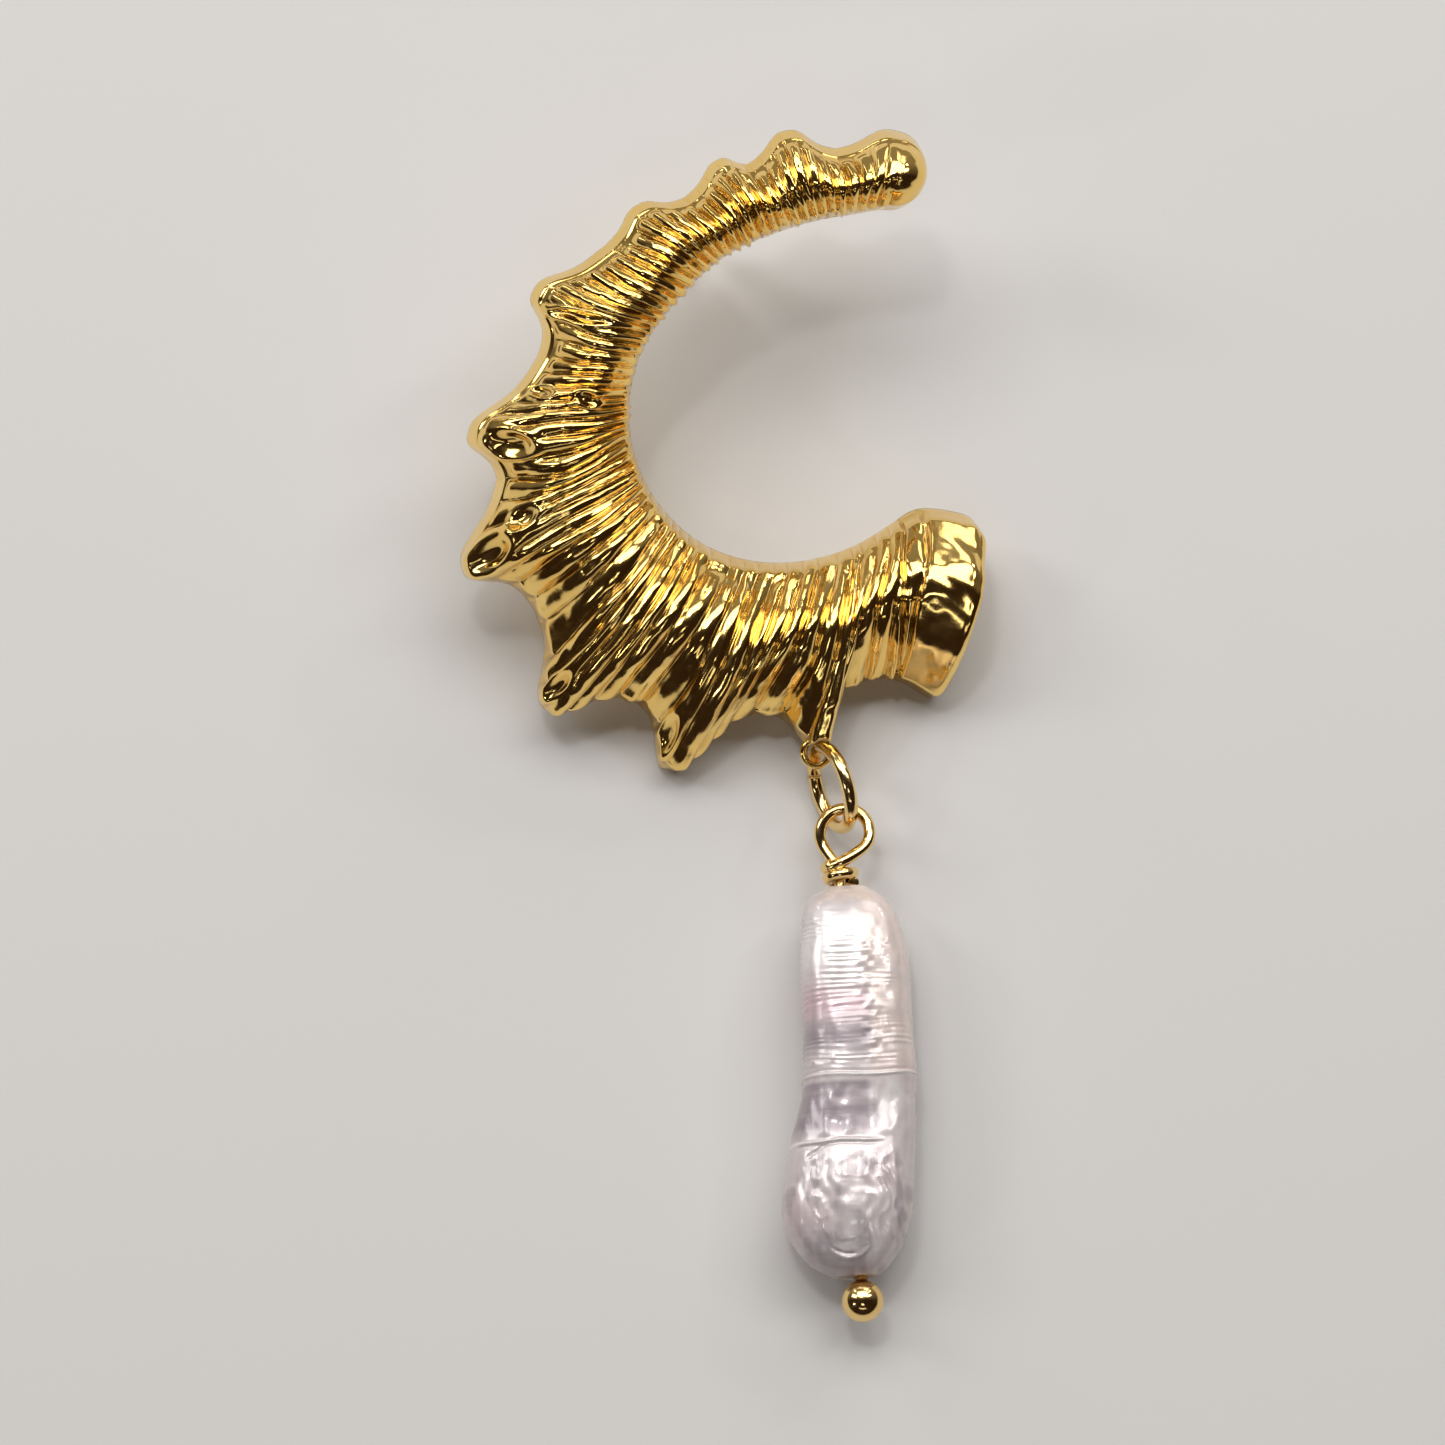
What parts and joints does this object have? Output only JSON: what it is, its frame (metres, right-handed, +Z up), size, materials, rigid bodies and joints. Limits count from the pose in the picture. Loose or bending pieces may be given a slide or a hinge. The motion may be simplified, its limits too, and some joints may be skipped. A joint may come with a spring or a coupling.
{
  "type": "pearl drop hoop earring",
  "caption": "Ribbed gold C-shaped hoop with pointed spikes and an ear post behind, and a stick pearl on a head pin hung from it by a jump ring; lying on a surface.",
  "frame": {"origin": "middle of the earring's bounding box, on the surface that it lies on", "axes": "+Z up from the surface, +Y along the earring from the pearl to the hoop, +X towards the hoop's open side"},
  "size_m": [0.0256, 0.0576, 0.0121],
  "materials": {
    "polished_gold": "polished gold plate over cast brass",
    "gold_wire": "polished gold plated wire",
    "nacre": "glossy white nacre with pink and lilac lustre"
  },
  "bodies": {
    "root": {"hoop": "polished_gold", "jump_ring": "gold_wire", "head_pin": "gold_wire", "pearl": "nacre"}
  },
  "joints": []
}
